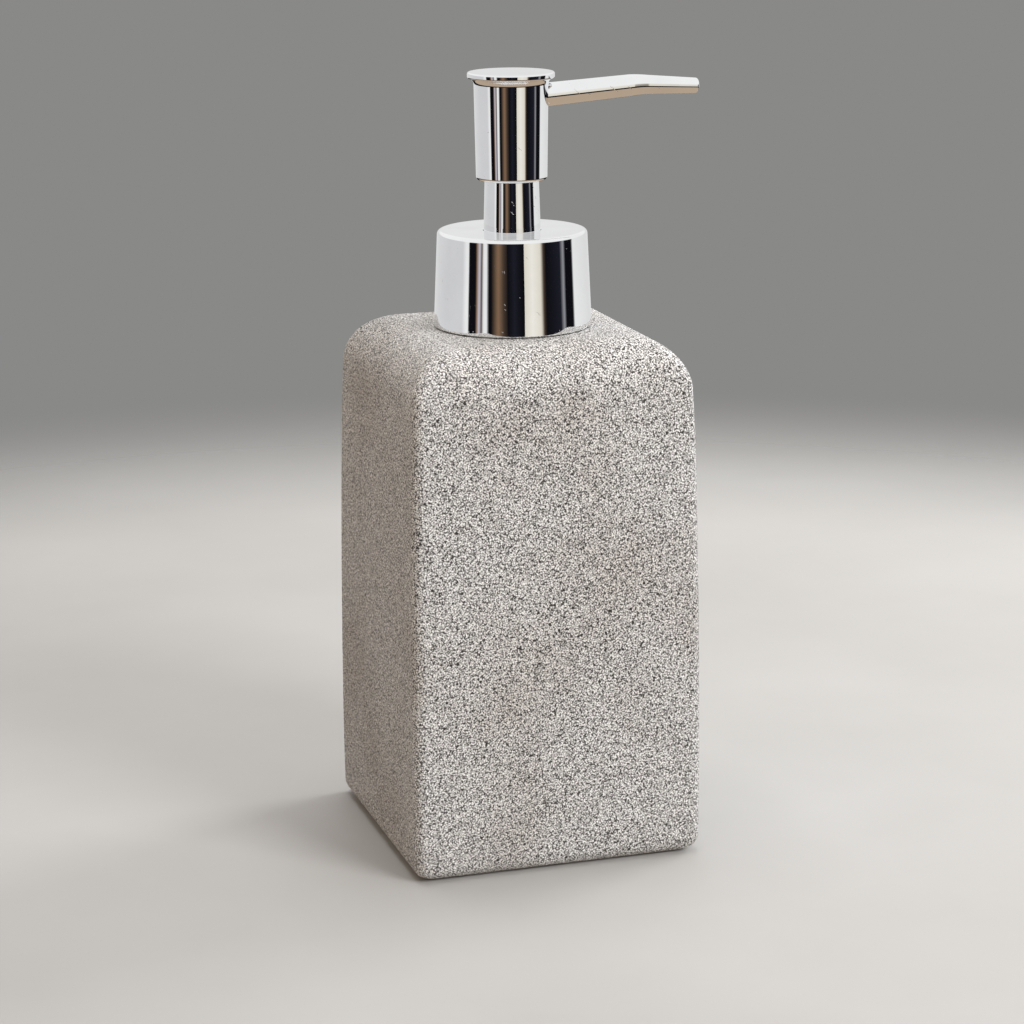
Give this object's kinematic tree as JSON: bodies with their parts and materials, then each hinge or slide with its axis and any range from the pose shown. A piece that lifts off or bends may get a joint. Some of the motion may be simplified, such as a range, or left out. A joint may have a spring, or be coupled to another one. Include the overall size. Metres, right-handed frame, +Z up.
{
  "type": "soap pump dispenser",
  "caption": "Square stone-effect soap dispenser with a rounded shoulder, a screwed-on chrome collar and a chrome push pump whose long spout swivels.",
  "frame": {"origin": "centre of the underside of the foam pad, on the surface the dispenser stands on", "axes": "+Z up along the pump's axis, +X the way the spout points at rest, the bottle's faces square to X and Y"},
  "size_m": [0.0838, 0.0726, 0.1893],
  "materials": {
    "stone_resin": "matt cast sandstone effect with fine grey, white and black speckle",
    "foam": "fine closed-cell foam",
    "white_plastic": "moulded polypropylene",
    "piston_plastic": "soft moulded polyethylene",
    "clear_plastic": "translucent extruded polyethylene",
    "chrome_plating": "bright polished chrome plating on moulded plastic, with light wear",
    "gasket_rubber": "soft moulded elastomer",
    "spring_steel": "drawn stainless wire and polished balls"
  },
  "bodies": {
    "bottle": {"bottle": "stone_resin", "base_pad": "foam", "neck_insert": "white_plastic"},
    "pump": {"housing": "white_plastic", "neck_gasket": "gasket_rubber", "stem_guide": "white_plastic", "guide_sleeve": "chrome_plating", "dip_tube": "clear_plastic", "ball_cage": "white_plastic", "return_spring": "spring_steel"},
    "closure": {"closure": "white_plastic", "collar_shell": "chrome_plating"},
    "piston": {"piston": "piston_plastic"},
    "actuator": {"stem": "white_plastic", "stem_tip": "white_plastic", "head_core": "white_plastic", "head_shell": "chrome_plating", "press_plate": "chrome_plating", "spout": "chrome_plating"},
    "inlet_ball": {"inlet_ball": "spring_steel"},
    "outlet_ball": {"outlet_ball": "spring_steel"}
  },
  "joints": [
    {"name": "pump_rise", "type": "slide", "parent": "bottle", "child": "pump", "axis": [0, 0, 1], "range_m": [0, 0.00634]},
    {"name": "closure_turn", "type": "hinge", "parent": "pump", "child": "closure", "pos_m": [0, 0, 0.14], "axis": [0, 0, 1], "range_deg": [0, 540]},
    {"name": "pump_stroke", "type": "slide", "parent": "pump", "child": "piston", "axis": [0, 0, -1], "range_m": [0, 0.011], "stiffness_N_per_m": 800, "springref_m": -0.0125, "deforming": ["return_spring"]},
    {"name": "head_swivel", "type": "hinge", "parent": "piston", "child": "actuator", "pos_m": [0, 0, 0.1635], "axis": [0, 0, 1], "continuous": true},
    {"name": "inlet_ball_lift", "type": "slide", "parent": "pump", "child": "inlet_ball", "axis": [0, 0, 1], "range_m": [0, 0.0015]},
    {"name": "outlet_ball_lift", "type": "slide", "parent": "actuator", "child": "outlet_ball", "axis": [0, 0, 1], "range_m": [0, 0.0014]}
  ],
  "couplings": [
    {"joint": "closure_turn", "follows": "pump_rise", "rad_per_m": 1484.2}
  ]
}
